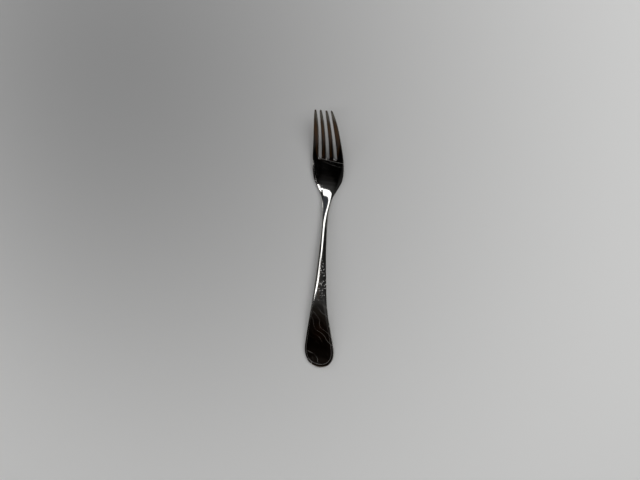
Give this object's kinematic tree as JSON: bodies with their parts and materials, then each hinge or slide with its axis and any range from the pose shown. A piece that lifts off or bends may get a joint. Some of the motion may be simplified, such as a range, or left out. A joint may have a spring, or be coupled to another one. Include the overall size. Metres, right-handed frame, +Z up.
{
  "type": "dessert fork",
  "caption": "Polished steel dessert fork with four tapered tines, a rounded root, a slim neck and a broad rounded handle end, for cutting and lifting small bites of cake or fruit.",
  "frame": {"origin": "on the table under the middle of the fork, at the centre of the bottom of its box", "axes": "+Y along the fork from the handle end to the tine tips, +X to the right with the tines pointing away, +Z up out of the face"},
  "size_m": [0.0224, 0.18, 0.0163],
  "materials": {
    "polished_steel": "polished"
  },
  "bodies": {
    "root": {"handle_end": "polished_steel", "handle_stem": "polished_steel", "neck": "polished_steel", "root_plate": "polished_steel", "left_outer_tine": "polished_steel", "left_inner_tine": "polished_steel", "right_inner_tine": "polished_steel", "right_outer_tine": "polished_steel"}
  },
  "joints": []
}
